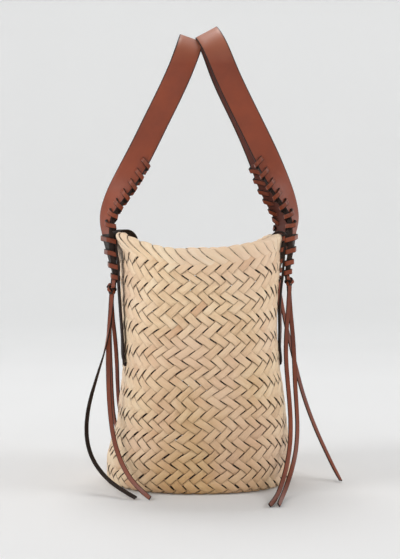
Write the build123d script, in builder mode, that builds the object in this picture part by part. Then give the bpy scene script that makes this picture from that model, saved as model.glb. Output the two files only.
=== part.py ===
from build123d import *
import os
from math import cos, pi, radians, sin, tan

# Plaited palm-leaf bucket bag with two leather handles laced to it.
# Millimetres, +Z up, origin on the floor at the centre of the base.
# The faces at +X (right) and -X (left) carry a handle each; -Y is the front, +Y the back.
# Each handle has a front leg and a back leg, and every piece of a leg is drawn once,
# at the right front, and mirrored to the other legs.

os.makedirs("parts", exist_ok=True)

# ---- basket
WALL = 3.4                # thickness of the plaited wall
BASE_CORNER = 17.0        # outside radius where the wall turns under
BASE_INSET = 24.0         # the wall's turned-under edge reaches this far in from the outline
BASE_PLAY = 0.2           # gap between the base and the wall's turned-under edge
BLANK_TOP = 300.0         # height of the basket before the rim is cut
# outline of the basket: height, half width in X, half depth in Y, squareness of the oval
OUTLINE = (
    (0.0, 102.5, 101.0, 2.3),
    (30.0, 102.3, 103.0, 2.4),
    (60.0, 98.3, 106.5, 2.6),
    (95.0, 93.9, 110.0, 2.8),
    (130.0, 90.1, 112.5, 2.8),
    (165.0, 89.0, 113.0, 2.8),
    (215.0, 90.0, 111.5, 2.7),
    (255.0, 91.8, 110.0, 2.6),
    (BLANK_TOP, 98.0, 108.5, 2.5),
)
OVAL_POINTS = 28          # points of the smooth curve through one oval

# ---- rim: low at the front and back, raised at the two handle faces
RIM_LOW = 263.0
RIM_RISE = 20.0
RIM_REACH = 95.0          # distance in X at which the rim has risen by RIM_RISE
RIM_BAND = 13.0           # height of the folded band
RIM_PROUD = 0.7           # the folded band is thicker than the wall by this on each side

# ---- straps
STRAP_WIDTH = 28.0
STRAP_THICK = 3.0
LINING_THICK = 2.6
LINING_LENGTH = 92.0
GLUE = 0.1                # glue line between the strap and its lining
HINGE_X = 102.4           # the strap flexes along this line, parallel to Y
HINGE_Z = 283.0
LEG_Y = 43.0              # half distance between the two legs of a handle at the rim
STRAP_END_GAP = 3.5       # from the flexing line to the end of the moving strap
TWIST_LOW = 287.0         # the strap turns a quarter turn between these two heights
TWIST_HIGH = 378.0
# side view of each handle, as distance from the middle and height, from the rim to the top
RIGHT_LEAN = (
    (103.7, 283.0), (103.0, 297.0), (97.5, 313.0), (83.5, 341.0), (70.0, 367.0),
    (52.6, 402.0), (36.3, 435.0), (21.0, 467.0), (9.5, 495.0), (4.4, 509.0),
)
LEFT_LEAN = (
    (103.7, 283.0), (103.0, 297.0), (97.5, 313.0), (83.5, 341.0), (70.0, 367.0),
    (52.6, 402.0), (37.0, 433.0), (22.5, 463.0), (12.0, 487.5), (7.4, 499.8),
)
RIGHT_ARCH = 49.2         # radius of the bend over the top, to the middle of the strap
LEFT_ARCH = 45.0

# ---- lacing
LACE_WIDE = 4.6
LACE_THICK = 1.5
STITCHES = 7
STITCH_FIRST = 9.5        # distance of the first stitch from the flexing line
STITCH_STEP = 13.4
STITCH_HOLE = 7.5         # distance of the holes from the edge of the strap
STITCH_AIR = 0.9          # air between a stitch and the leather
WRAP_AIR = 0.8
# the fixed end of a strap: distance from the middle, height, width
RIGHT_END = ((102.4, 283.0, 26.0), (102.2, 262.0, 22.0), (99.2, 247.0, 16.0), (96.9, 234.0, 10.0))
LEFT_END = ((102.4, 283.0, 26.0), (102.2, 259.0, 21.0), (100.6, 241.0, 15.5), (98.9, 225.0, 10.0))
END_THICK = 4.4
END_NOSE = 3.0            # radius of the rounded edge that the moving strap turns about
RIGHT_WRAPS = (274.5, 262.0, 250.5, 240.0)
LEFT_WRAPS = (274.5, 259.5, 246.0, 233.5)

# ---- anchor loops: a band over the rim that goes through a slot in the wall
LOOP_WIDTH = 18.0
LOOP_THICK = 2.6
LOOP_TURN = 10.0          # the band lies along the oval, turned by this from the Y axis
LOOP_FOOT = 136.0
LOOP_STANDOFF = 3.2       # from the wall to the band beside the lashing
SLOT_AIR = 0.5
LOOP_BENDS = (2.6, 30.0, 30.0, 12.0, 4.8, 4.8, 60.0, 2.6)
LOOP_REACH = 90.0         # distance of the band from the middle of the bag
LOOP_RISE = 5.0           # the band stands this far over the rim

# ---- knots and hanging laces
KNOT_RADIUS = 5.2
KNOT_HEIGHT = 9.0
RIGHT_KNOT = (98.4, 45.0, 226.5)
LEFT_KNOT = (101.5, 45.0, 217.5)
LACE_DIAMETER = 4.4
RADIUS_SHARE = 0.45       # an arc of a lace takes this much of the shorter of its two runs

# the routes of the hanging laces, from the knot to the floor
LACE_ROUTES = {
    "lace_left_front_outer": (
        (-101.5, -47.6, 213.0), (-102.2, -48.0, 187.0), (-107.0, -49.0, 155.5),
        (-117.5, -50.5, 122.5), (-127.0, -53.5, 90.0), (-129.5, -58.0, 62.0),
        (-125.0, -67.0, 40.0), (-113.0, -82.0, 22.5), (-96.0, -101.0, 10.0),
        (-77.0, -120.0, 2.6),
    ),
    "lace_left_front_inner": (
        (-101.5, -42.4, 213.0), (-103.2, -42.6, 183.0), (-105.0, -44.5, 149.0),
        (-104.8, -49.0, 115.0), (-103.0, -57.0, 82.0), (-99.0, -68.5, 54.0),
        (-90.5, -85.0, 31.0), (-77.5, -104.0, 12.5), (-62.0, -123.0, 2.6),
    ),
    "lace_left_back_outer": (
        (-101.5, 47.6, 213.0), (-99.5, 49.0, 186.0), (-96.0, 53.0, 158.0),
        (-93.8, 59.0, 129.0), (-93.0, 66.0, 100.0), (-91.0, 76.0, 72.0),
        (-84.5, 89.5, 47.0), (-72.5, 105.0, 25.0), (-57.0, 118.0, 9.0),
        (-39.0, 127.0, 2.6),
    ),
    "lace_left_back_inner": (
        (-101.5, 42.4, 213.0), (-102.6, 42.6, 182.0), (-102.2, 45.0, 149.0),
        (-101.0, 50.5, 117.0), (-99.8, 60.0, 86.0), (-97.0, 74.0, 58.0),
        (-90.0, 91.0, 35.0), (-80.0, 109.0, 15.0), (-69.0, 127.0, 2.6),
    ),
    "lace_right_front_inner": (
        (98.4, -47.6, 222.0), (94.2, -51.0, 198.0), (91.0, -55.6, 171.5),
        (90.2, -57.6, 144.5), (92.2, -58.2, 118.0), (94.4, -60.2, 92.0),
        (94.9, -65.2, 67.5), (92.6, -74.2, 46.5), (87.2, -88.2, 29.2),
        (80.0, -106.6, 15.2), (72.2, -127.6, 6.2), (64.6, -149.0, 2.8),
        (57.5, -169.8, 2.6),
    ),
    "lace_right_front_outer": (
        (98.4, -42.4, 222.0), (98.6, -42.3, 197.0), (100.2, -42.8, 169.0),
        (101.8, -43.8, 141.0), (102.4, -46.0, 114.0), (103.6, -50.0, 88.5),
        (103.8, -56.5, 64.0), (100.6, -67.0, 42.5), (94.3, -81.5, 25.5),
        (86.4, -100.5, 13.0), (78.8, -122.0, 5.2), (72.3, -145.0, 2.8),
        (67.0, -168.0, 2.6),
    ),
    "lace_right_back_outer": (
        (98.4, 47.6, 222.0), (100.4, 46.6, 199.0), (105.0, 44.0, 174.0),
        (110.8, 39.5, 148.0), (116.2, 33.5, 121.5), (121.8, 25.0, 96.0),
        (128.8, 14.0, 71.5), (136.8, 1.5, 48.5), (145.0, -12.0, 28.0),
        (151.5, -25.0, 12.0), (155.5, -38.5, 2.6),
    ),
    "lace_right_back_inner": (
        (98.4, 42.4, 222.0), (98.6, 42.4, 195.0), (98.4, 44.0, 166.0),
        (97.8, 48.5, 137.5), (97.2, 55.0, 109.5), (96.8, 64.5, 82.0),
        (94.5, 77.5, 56.5), (89.0, 92.5, 35.5), (81.5, 109.0, 17.0),
        (73.5, 125.5, 5.0), (66.5, 141.5, 2.6),
    ),
}


def outline_at(z):
    """Half width, half depth and squareness of the basket's outline at one height."""
    for low, high in zip(OUTLINE, OUTLINE[1:]):
        if z <= high[0]:
            share = (z - low[0]) / (high[0] - low[0])
            return [a + (b - a) * share for a, b in zip(low[1:], high[1:])]
    return list(OUTLINE[-1][1:])


def wall_x(z, y):
    """Distance from the middle to the outside of the wall at a height and a depth."""
    half_x, half_y, power = outline_at(z)
    return half_x * (1 - abs(y / half_y) ** power) ** (1 / power)


def oval_points(half_x, half_y, power):
    """Points of an oval between an ellipse and a rectangle."""
    points = []
    for k in range(OVAL_POINTS):
        c = cos(2 * pi * k / OVAL_POINTS)
        s = sin(2 * pi * k / OVAL_POINTS)
        x = half_x * abs(c) ** (2 / power) * (1 if c > 0 else -1)
        y = half_y * abs(s) ** (2 / power) * (1 if s > 0 else -1)
        points.append((x, y))
    return points


def basket_blank(inset, low, high, corner):
    """Closed solid of the basket's outline, drawn in by inset, with a rounded foot."""
    heights = [low] + [row[0] for row in OUTLINE if low < row[0] < high] + [high]
    with BuildPart() as blank:
        for z in heights:
            half_x, half_y, power = outline_at(z)
            with BuildSketch(Plane.XY.offset(z)):
                with BuildLine():
                    Spline(*oval_points(half_x - inset, half_y - inset, power), periodic=True)
                make_face()
        loft()
        if corner:
            fillet(blank.edges().group_by(Axis.Z)[0], corner)
    return blank.part


def above_rim(drop):
    """Everything above the rim line, with the line lowered by drop."""
    stations = (-1.2, -1.0, -0.87, -0.68, -0.4, 0.0, 0.4, 0.68, 0.87, 1.0, 1.2)
    rim = [(RIM_REACH * k, RIM_LOW + RIM_RISE * k**4 - drop) for k in stations]
    ceiling = BLANK_TOP + 40
    with BuildPart() as space:
        with BuildSketch(Plane.XZ):
            with BuildLine():
                Spline(*rim)
                Polyline(rim[-1], (rim[-1][0], ceiling), (rim[0][0], ceiling), rim[0])
            make_face()
        extrude(amount=2 * HINGE_X, both=True)
    return space.part


def on_leg(shape, side, end):
    """A piece drawn at the right front, moved to another leg."""
    if side < 0:
        shape = shape.mirror(Plane.YZ)
    if end > 0:
        shape = shape.mirror(Plane.XZ)
    return shape


def save(part, name):
    """Label a finished piece and write it."""
    part.label = name
    export_step(part, "parts/" + name + ".step")


# ---- handles -----------------------------------------------------------------

class Handle:
    """Side view, leg and bend of one handle, as seen at its right front quarter."""

    def __init__(self, lean, arch):
        with BuildLine(Plane.XZ) as side_view:
            Spline(*lean)
        self.line = side_view.line.edges()[0]
        self.arch = arch
        self.leg = self.line.length - arch
        self.length = self.leg + arch * pi / 2

    def across(self, distance, shift=0.0):
        """Plane across the strap: x to its laced edge, y to its brown face, z along it."""
        if distance <= self.leg:
            bend = 0.0
            along = distance
            y = -(LEG_Y + (self.arch - LEG_Y) * distance / self.leg)
        else:
            bend = min((distance - self.leg) / self.arch, pi / 2)
            along = self.leg + self.arch * sin(bend)
            y = -self.arch * cos(bend)
        share = min(along / self.line.length, 1.0)
        spot = self.line.position_at(share)
        rise = self.line.tangent_at(share)
        flat = Vector(-rise.Z, 0, rise.X)
        run = rise * cos(bend) + Vector(0, 1, 0) * sin(bend)
        face = run.cross(flat)
        turned = min(max((TWIST_HIGH - spot.Z) / (TWIST_HIGH - TWIST_LOW), 0.0), 1.0)
        turn = pi / 2 * turned * turned * (3 - 2 * turned)
        width = flat * cos(turn) + face * sin(turn)
        normal = run.cross(width)
        origin = Vector(spot.X, y, spot.Z) + normal * shift
        return Plane(origin=origin, x_dir=width, z_dir=run)

    def stitch_stations(self):
        """Distances along the strap of its stitches, from the rim upwards."""
        return [STITCH_FIRST + STITCH_STEP * k for k in range(STITCHES)]


def flat_end():
    """Everything below the level end of the moving strap."""
    with BuildPart() as space:
        with BuildSketch(Plane.XY.offset(HINGE_Z + STRAP_END_GAP)):
            with Locations((HINGE_X, -LEG_Y)):
                Rectangle(60, 60)
        extrude(amount=-60)
    return space.part


def half_strap(handle, width, thick, shift, start, stop, step):
    """One leg of a strap layer, from the rim up to a distance along it."""
    count = max(int((stop - start) / step), 2)
    with BuildPart() as layer:
        for k in range(count + 1):
            station = start + (stop - start) * k / count
            with BuildSketch(handle.across(station, shift)):
                Rectangle(width, thick)
        loft()
        add(flat_end(), mode=Mode.SUBTRACT)
    return layer.part


def lacing_slots(handle):
    """Slots for the stitches through both layers of leather."""
    with BuildPart() as slots:
        for station in handle.stitch_stations():
            with BuildSketch(handle.across(station)):
                with Locations((STRAP_WIDTH / 2 - STITCH_HOLE, -LINING_THICK / 2)):
                    Rectangle(LACE_THICK + 1.0, STRAP_THICK + LINING_THICK + 4)
            extrude(amount=(LACE_WIDE + 1.0) / 2, both=True)
    return slots.part


def stitch_rings(handle):
    """Whip stitches: each one goes through its slot and round the edge of both layers."""
    hole = STRAP_WIDTH / 2 - STITCH_HOLE
    out = STRAP_WIDTH / 2 + STITCH_AIR
    inside = (out - hole - LACE_THICK / 2, STRAP_THICK + LINING_THICK + 2 * STITCH_AIR)
    centre = (hole + LACE_THICK / 2 + inside[0] / 2, -LINING_THICK / 2)
    with BuildPart() as rings:
        for station in handle.stitch_stations():
            with BuildSketch(handle.across(station)):
                with Locations(centre):
                    Rectangle(inside[0] + 2 * LACE_THICK, inside[1] + 2 * LACE_THICK)
                    Rectangle(*inside, mode=Mode.SUBTRACT)
            extrude(amount=LACE_WIDE / 2, both=True)
    return rings.part


# ---- pieces of one leg ---------------------------------------------------------

def strap_end(rows):
    """Fixed end of the strap under the rim, with a rounded upper edge."""
    with BuildPart() as piece:
        for x, z, width in rows:
            with BuildSketch(Plane(origin=(x, -LEG_Y, z))):
                Rectangle(END_THICK, width)
        loft(ruled=True)
        with BuildSketch(Plane(origin=(HINGE_X, -LEG_Y, HINGE_Z), z_dir=(0, 1, 0))):
            Circle(END_NOSE)
        extrude(amount=rows[0][2] / 2, both=True)
    return piece.part


def end_at(rows, z):
    """Distance from the middle and width of the fixed strap end at one height."""
    for (x0, z0, w0), (x1, z1, w1) in zip(rows, rows[1:]):
        if z >= z1:
            share = (z0 - z) / (z0 - z1)
            return x0 + (x1 - x0) * share, w0 + (w1 - w0) * share
    return rows[-1][0], rows[-1][2]


def loop_plane():
    """Upright plane through the middle of the anchor loop, along the wall's normal."""
    outward = Vector(cos(radians(LOOP_TURN)), -sin(radians(LOOP_TURN)), 0)
    middle = Vector(LOOP_REACH, -LEG_Y, 0)
    return Plane(origin=middle, x_dir=outward, z_dir=outward.cross(Vector(0, 0, 1)))


def loop_start(z):
    """Place in the loop's plane of the outside of the wall, where it stands out most."""
    half = LOOP_WIDTH / 2 * cos(radians(LOOP_TURN))
    reach = -LOOP_REACH
    for across in (-half, 0.0, half):
        x = wall_x(z, LEG_Y + across)
        along = (x - LOOP_REACH) * cos(radians(LOOP_TURN)) + across * sin(radians(LOOP_TURN))
        reach = max(reach, along)
    return reach


def loop_face(grow):
    """Area inside the middle line of the anchor loop, grown by a distance."""
    crest = RIM_LOW + RIM_RISE * (wall_x(RIM_LOW + RIM_RISE, LEG_Y) / RIM_REACH) ** 4
    half = LOOP_THICK / 2
    inside = half + WALL
    route = (
        (loop_start(LOOP_FOOT) + half + 0.7, LOOP_FOOT),
        (loop_start(218) + half + 0.8, 218),
        (loop_start(236) + half + LOOP_STANDOFF, 236),
        (loop_start(268) + half + LOOP_STANDOFF, 268),
        (loop_start(280) + half + LOOP_STANDOFF - 1.4, crest + LOOP_RISE),
        (loop_start(280) - inside - 3.0, crest + LOOP_RISE),
        (loop_start(245) - inside - 3.4, 245),
        (loop_start(LOOP_FOOT) - inside - 1.8, LOOP_FOOT),
    )
    with BuildSketch(loop_plane()) as area:
        with BuildLine():
            FilletPolyline(*route, radius=LOOP_BENDS, close=True)
        make_face()
        offset(amount=grow, kind=Kind.ARC)
    return area.sketch


def anchor_loop():
    """Closed band over the rim, down the wall, and back through a slot."""
    with BuildPart() as piece:
        extrude(loop_face(LOOP_THICK / 2), amount=LOOP_WIDTH / 2, both=True)
        extrude(loop_face(-LOOP_THICK / 2), amount=LOOP_WIDTH / 2, both=True, mode=Mode.SUBTRACT)
    return piece.part


def loop_slot():
    """Space for the anchor loop where it goes through the wall."""
    turned = loop_plane()
    with BuildPart() as space:
        with BuildSketch(turned):
            with Locations((loop_start(LOOP_FOOT) - WALL / 2, LOOP_FOOT)):
                Rectangle(20, LOOP_THICK + 2 * SLOT_AIR)
        extrude(amount=LOOP_WIDTH / 2 + SLOT_AIR, both=True)
    return space.part


def wraps(rows, heights):
    """Turns of lace that lash the fixed strap end to the anchor loop."""
    turned = loop_plane()
    with BuildPart() as piece:
        for z in heights:
            x, width = end_at(rows, z)
            band = turned.from_local_coords((loop_start(z) + LOOP_STANDOFF + LOOP_THICK / 2, z, 0))
            level = Plane(origin=(0, 0, z))
            for grow, mode in ((WRAP_AIR + LACE_THICK, Mode.ADD), (WRAP_AIR, Mode.SUBTRACT)):
                with BuildSketch(level):
                    with BuildSketch(level, mode=Mode.PRIVATE) as held:
                        with Locations((x, -LEG_Y)):
                            Rectangle(END_THICK, width)
                        with Locations(Location((band.X, band.Y), -LOOP_TURN)):
                            Rectangle(LOOP_THICK, LOOP_WIDTH)
                        make_hull(held.edges())
                    add(held.sketch)
                    offset(amount=grow, kind=Kind.ARC)
                extrude(amount=LACE_WIDE / 2, both=True, mode=mode)
    return piece.part


def knot(centre):
    """Round knot of lace under the fixed strap end."""
    x, y, z = centre
    with BuildPart() as piece:
        with BuildSketch(Plane(origin=(x, -y, z - KNOT_HEIGHT / 2))):
            Circle(KNOT_RADIUS)
        extrude(amount=KNOT_HEIGHT)
        fillet(piece.edges().group_by(Axis.Z)[-1], 3.5)
        fillet(piece.edges().group_by(Axis.Z)[0], 0.5)
    return piece.part


def hanging_lace(name, route):
    """Tube along straight runs that are joined by arcs."""
    points = [Vector(*point) for point in route]
    radii = []
    for before, corner, after in zip(points, points[1:], points[2:]):
        turn = radians((corner - before).get_angle(after - corner))
        shorter = min((corner - before).length, (after - corner).length)
        radii.append(RADIUS_SHARE * shorter / tan(turn / 2))
    with BuildPart() as piece:
        with BuildLine() as track:
            FilletPolyline(*points, radius=radii)
        path = track.wires()[0]
        with BuildSketch(Plane(origin=path @ 0, z_dir=path % 0)):
            Circle(LACE_DIAMETER / 2)
        sweep(path=path)
    section = pi * (LACE_DIAMETER / 2) ** 2
    share = piece.part.volume / (section * path.length)
    print(name, "length", round(path.length, 1), "volume over section x length", round(share, 4))
    print("   radii", [round(radius, 1) for radius in radii])
    return piece.part


# ---- basket ---------------------------------------------------------------------

LEGS = [(side, end) for side in (-1, 1) for end in (-1, 1)]
SIDES = {-1: "left", 1: "right"}
ENDS = {-1: "front", 1: "back"}

with BuildPart() as woven_wall:
    add(basket_blank(0.0, 0.0, BLANK_TOP, BASE_CORNER))
    add(basket_blank(WALL, WALL, BLANK_TOP, BASE_CORNER - WALL), mode=Mode.SUBTRACT)
    add(basket_blank(BASE_INSET, -1.0, WALL + 1.0, 0.0), mode=Mode.SUBTRACT)
    add(above_rim(RIM_BAND), mode=Mode.SUBTRACT)
    for side, end in LEGS:
        add(on_leg(loop_slot(), side, end), mode=Mode.SUBTRACT)
save(woven_wall.part, "woven_wall")

with BuildPart() as woven_base:
    add(basket_blank(BASE_INSET + BASE_PLAY, 0.0, WALL, 0.0))
save(woven_base.part, "woven_base")

with BuildPart() as rim_fold:
    add(basket_blank(-RIM_PROUD, 230.0, BLANK_TOP, 0.0))
    add(basket_blank(WALL + RIM_PROUD, 230.0, BLANK_TOP, 0.0), mode=Mode.SUBTRACT)
    add(above_rim(RIM_BAND), mode=Mode.INTERSECT)
    add(above_rim(0.0), mode=Mode.SUBTRACT)
save(rim_fold.part, "rim_fold")

# ---- straps, linings and stitches ---------------------------------------------------

HANDLES = {
    -1: (Handle(LEFT_LEAN, LEFT_ARCH), LEFT_END, LEFT_WRAPS, LEFT_KNOT),
    1: (Handle(RIGHT_LEAN, RIGHT_ARCH), RIGHT_END, RIGHT_WRAPS, RIGHT_KNOT),
}

for side, (handle, end_rows, wrap_heights, knot_centre) in HANDLES.items():
    slots = lacing_slots(handle)
    leg = half_strap(handle, STRAP_WIDTH, STRAP_THICK, 0.0, 0.0, handle.length, 11.0)
    with BuildPart() as strap:
        add(leg)
        add(slots, mode=Mode.SUBTRACT)
        mirror(about=Plane.XZ)
    save(on_leg(strap.part, side, -1), "strap_" + SIDES[side])

    shift = -(STRAP_THICK + LINING_THICK) / 2 - GLUE
    with BuildPart() as lining:
        add(half_strap(handle, STRAP_WIDTH, LINING_THICK, shift, 0.0, LINING_LENGTH, 11.0))
        add(slots, mode=Mode.SUBTRACT)

    pieces = {
        "lining": lining.part,
        "whip_stitches": stitch_rings(handle),
        "strap_end": strap_end(end_rows),
        "lashing": wraps(end_rows, wrap_heights),
        "anchor_loop": anchor_loop(),
        "knot": knot(knot_centre),
    }
    for end in (-1, 1):
        for kind, shape in pieces.items():
            save(on_leg(shape, side, end), kind + "_" + SIDES[side] + "_" + ENDS[end])

# ---- hanging laces ------------------------------------------------------------------

for name, route in LACE_ROUTES.items():
    save(hanging_lace(name, route), name)
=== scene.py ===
import math
import random

import bpy
import numpy as np
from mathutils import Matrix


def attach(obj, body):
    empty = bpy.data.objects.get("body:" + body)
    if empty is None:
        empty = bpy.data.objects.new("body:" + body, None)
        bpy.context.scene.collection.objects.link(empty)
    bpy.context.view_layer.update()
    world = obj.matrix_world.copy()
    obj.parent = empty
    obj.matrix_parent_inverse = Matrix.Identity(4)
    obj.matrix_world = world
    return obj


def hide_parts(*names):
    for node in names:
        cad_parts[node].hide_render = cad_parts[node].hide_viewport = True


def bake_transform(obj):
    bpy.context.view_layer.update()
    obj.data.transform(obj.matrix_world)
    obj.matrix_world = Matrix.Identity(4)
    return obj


# Plaited palm-leaf bucket bag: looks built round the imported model.
# Shapes are worked out in millimetres and written to meshes in metres.
# Pieces of a leg are drawn at the right front and mirrored to the other three legs.

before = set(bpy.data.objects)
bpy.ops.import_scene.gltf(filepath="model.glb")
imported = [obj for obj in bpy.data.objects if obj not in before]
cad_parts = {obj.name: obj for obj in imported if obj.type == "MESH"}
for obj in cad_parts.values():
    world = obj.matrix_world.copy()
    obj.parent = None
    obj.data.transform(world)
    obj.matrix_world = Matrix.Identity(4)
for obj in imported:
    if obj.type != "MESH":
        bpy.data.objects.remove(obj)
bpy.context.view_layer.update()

MM = 0.001
rng = random.Random(11)
SIDES = {-1: "left", 1: "right"}
ENDS = {-1: "front", 1: "back"}

# ---- sizes of the basket ----

# height, half width in X, half depth in Y, squareness
OUTLINE = np.array((
    (0.0, 102.5, 101.0, 2.3), (30.0, 102.3, 103.0, 2.4), (60.0, 98.3, 106.5, 2.6),
    (95.0, 93.9, 110.0, 2.8), (130.0, 90.1, 112.5, 2.8), (165.0, 89.0, 113.0, 2.8),
    (215.0, 90.0, 111.5, 2.7), (255.0, 91.8, 110.0, 2.6), (300.0, 98.0, 108.5, 2.5),
))
# how far the left and the right of the basket stand out further than the outline
SWAY_HEIGHTS = (0.0, 25.0, 45.0, 66.0, 90.0, 113.0, 140.0, 180.0, 205.0, 240.0, 262.0, 300.0)
SWAY = {
    -1: (4.0, 4.0, 1.0, -3.0, -2.2, -2.8, -2.0, -0.6, 0.0, 0.0, 0.0, 0.0),
    1: (0.0, 0.0, 0.0, 0.0, 0.0, -0.6, -2.4, -4.4, -3.8, -2.2, -1.8, 0.0),
}
BASE_CORNER = 9.0
BASE_INSET = 24.0
WALL_MIDDLE = 1.7  # the middle of the plaited wall lies this far inside the outline
RIM_LOW = 263.0
RIM_RISE = 24.0
RIM_CAP = 18.4  # the rim rises to this at most
# rise of the rim along the front, which starts sooner on the right
FRONT_RISE = np.array((
    (-95.0, 18.4), (-83.5, 17.8), (-79.5, 16.4), (-76.0, 12.6), (-69.0, 8.0), (-61.0, 5.2),
    (-48.0, 2.5), (-25.0, 0.7), (0.0, 0.5), (20.0, 1.8), (36.0, 3.8), (50.0, 6.2), (64.0, 9.9),
    (74.0, 14.2), (84.0, 16.6), (95.0, 18.2),
))
RIM_REACH = 95.0
RIM_DIP, DIP_HALF = 0.36, 27.0  # between the legs the rim falls by this share of its rise
FLARE_LEFT, FLARE_RIGHT = 7.5, -4.2  # the lip stands out this far at the handle faces
FLARE_LEVEL, FLARE_LEVELS = 45.2, 4.2  # it starts to stand out at this level, over this many
FLARE_FROM, FLARE_SPAN = 58.0, 26.0  # and this far off the middle of the bag, over this much
LEGS_AT, PRESS_HALF = 39.0, 13.0  # where a handle's legs press on the lip, and how widely
PRESSED = 7.5  # the left lip is pressed in by this under a leg

# ---- sizes of the plait ----

COLUMNS = 48  # strips of either direction round the basket
LEVELS = 49.4  # crossings from the turned-under edge up to the fold of the rim
STRIPS_TO = {1: 47.2, -1: 48.7}  # the strips of either direction end at this level
FOLD_BELOW = 3.9  # the fold turns about a line this far below the top of the rim
SADDLE_FROM = 16.0  # the rows start to follow the saddle of the rim at this level
STRIP_LIFT = 0.95  # a strip lies this far off the middle of the wall
STRIP_THICK = 0.55
STRIP_CROWN = 0.5
STRIP_SHINGLE = 0.32  # the lower edge of a strip stands out by this
STRIP_WIDTH = 0.905  # width of a strip, as a share of its pitch
STRIP_WIDEST = 0.985
LOW_NARROWER = 0.045  # strips are narrower by this at the base
WAIST = 0.06  # and by this in every second gap between crossings
# mean tone of the straw, its spread from strip to strip, and along a strip
TONE, TONE_STRIPS, TONE_FLOATS = 0.50, 0.10, 0.06
ORANGE_FROM, HALF_ORANGE_FROM = 0.945, 0.86  # draws from 0 to 1 above these give orange straw


def smoothstep(share):
    """Rises from 0 to 1 with the share, level at both ends."""
    share = np.clip(share, 0.0, 1.0)
    return share * share * (3 - 2 * share)


def unit(vectors):
    """Vectors of length one."""
    return vectors / np.maximum(np.linalg.norm(vectors, axis=-1, keepdims=True), 1e-9)


def read(table, at, *columns):
    """Columns of a table, read between its rows at a value of its first column."""
    return [np.interp(at, table[:, 0], table[:, n]) for n in columns]


def sway(side, height):
    """How far one side of the wall stands out further than the outline."""
    return np.interp(height, SWAY_HEIGHTS, SWAY[side])


def put(name, data):
    """An object with this data, in the scene."""
    made = bpy.data.objects.new(name, data)
    bpy.context.scene.collection.objects.link(made)
    return made


# ---- meshes out of swept sections ----

class Piece:
    """Collects swept islands into one mesh, with values for its material at each vertex."""

    def __init__(self):
        self.points, self.faces, self.paints, self.values = [], [], [], {}
        self.count = 0

    def sweep(self, sections, closed=False, flip=False, paint=None, **values):
        """Adds a tube through sections of shape (rows, ring, 3)."""
        rows, ring = sections.shape[:2]
        paint = paint or [0] * ring
        for i in range(rows if closed else rows - 1):
            here = self.count + i * ring
            there = self.count + (i + 1) % rows * ring
            for j in range(ring):
                k = (j + 1) % ring
                quad = (here + j, here + k, there + k, there + j)
                self.faces.append(quad[::-1] if flip else quad)
            self.paints += paint
        if not closed:
            start = tuple(range(self.count, self.count + ring))
            end = tuple(range(self.count + (rows - 1) * ring, self.count + rows * ring))
            self.faces += [start, end[::-1]] if flip else [start[::-1], end]
            self.paints += [max(paint)] * 2
        self.points.append(sections.reshape(-1, 3))
        for name, value in values.items():
            shape = sections.shape if name == "fibre" else (rows, ring)
            self.values.setdefault(name, []).append(np.broadcast_to(value, shape).reshape(-1))
        self.count += rows * ring

    def sweep_leg(self, sections, side, end, hangs=False, **options):
        """Adds sections drawn at the right front, mirrored to another leg."""
        sections = sections * np.array((side, -end, 1.0))
        if hangs:
            sections = hung(sections, side)
        self.sweep(sections, flip=side * -end < 0, **options)

    def build(self, name, materials, sharp=50):
        """Makes the object, in metres."""
        mesh = bpy.data.meshes.new(name)
        mesh.from_pydata((np.concatenate(self.points) * MM).tolist(), [], self.faces)
        mesh.polygons.foreach_set("use_smooth", [True] * len(mesh.polygons))
        mesh.polygons.foreach_set("material_index", self.paints)
        for key, parts in self.values.items():
            kind, field = ("FLOAT_VECTOR", "vector") if key == "fibre" else ("FLOAT", "value")
            attribute = mesh.attributes.new(key, kind, "POINT")
            attribute.data.foreach_set(field, np.concatenate(parts).astype(np.float32))
        for material in materials:
            mesh.materials.append(material)
        mesh.set_sharp_from_angle(angle=math.radians(sharp))
        mesh.update()
        return put(name, mesh)


def settle(made, nodes, side=None):
    """Hides the imported nodes that a piece stands for. It is tied to the basket, or, given a side,
    left unparented with its transform baked into its mesh.
    """
    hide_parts(*nodes)
    if side is None:
        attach(made, "basket")
    else:
        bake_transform(made)


def smooth_through(rows, per_run, closed=False):
    """Catmull-Rom curve through rows of numbers."""
    rows = np.asarray(rows, float)
    if closed:
        padded = np.concatenate((rows[-1:], rows, rows[:2]))
    else:
        padded = np.concatenate((2 * rows[:1] - rows[1:2], rows, 2 * rows[-1:] - rows[-2:-1]))
    out = []
    for a, b, c, d in zip(padded, padded[1:], padded[2:], padded[3:]):
        for k in range(per_run):
            t = k / per_run
            out.append(0.5 * (2 * b + (c - a) * t + (2 * a - 5 * b + 4 * c - d) * t**2
                              + (3 * b - a - 3 * c + d) * t**3))
    if not closed:
        out.append(rows[-1])
    return np.array(out)


def rounded_ring(half_width, top, bottom, radius, across=3):
    """Section of a strap, from the laced edge over its face and back: points and their paints."""
    points, paint = [], []
    inner = half_width - radius
    for x, y, start, level, tint in (
            (inner, top - radius, 0.0, top, 0), (-inner, top - radius, 90.0, None, 1),
            (-inner, bottom + radius, 180.0, bottom, 2), (inner, bottom + radius, 270.0, None, 1)):
        for turn in (0.0, 45.0, 90.0):
            angle = math.radians(start + turn)
            points.append((x + radius * math.cos(angle), y + radius * math.sin(angle)))
        paint += [1, 1, tint]
        if level is not None:
            points += [(x - 2 * x * k / (across + 1), level) for k in range(1, across + 1)]
            paint += [tint] * across
    return np.array(points), paint


def flat_section(wide, thick, radius, across=3):
    """Ring of a flat lace or band, and what its sweep tells the material."""
    ring, paint = rounded_ring(wide / 2, thick / 2, -thick / 2, radius, across)
    return ring, {"paint": paint, "edge": abs(ring[:, 0])[None] / (wide / 2)}


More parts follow.
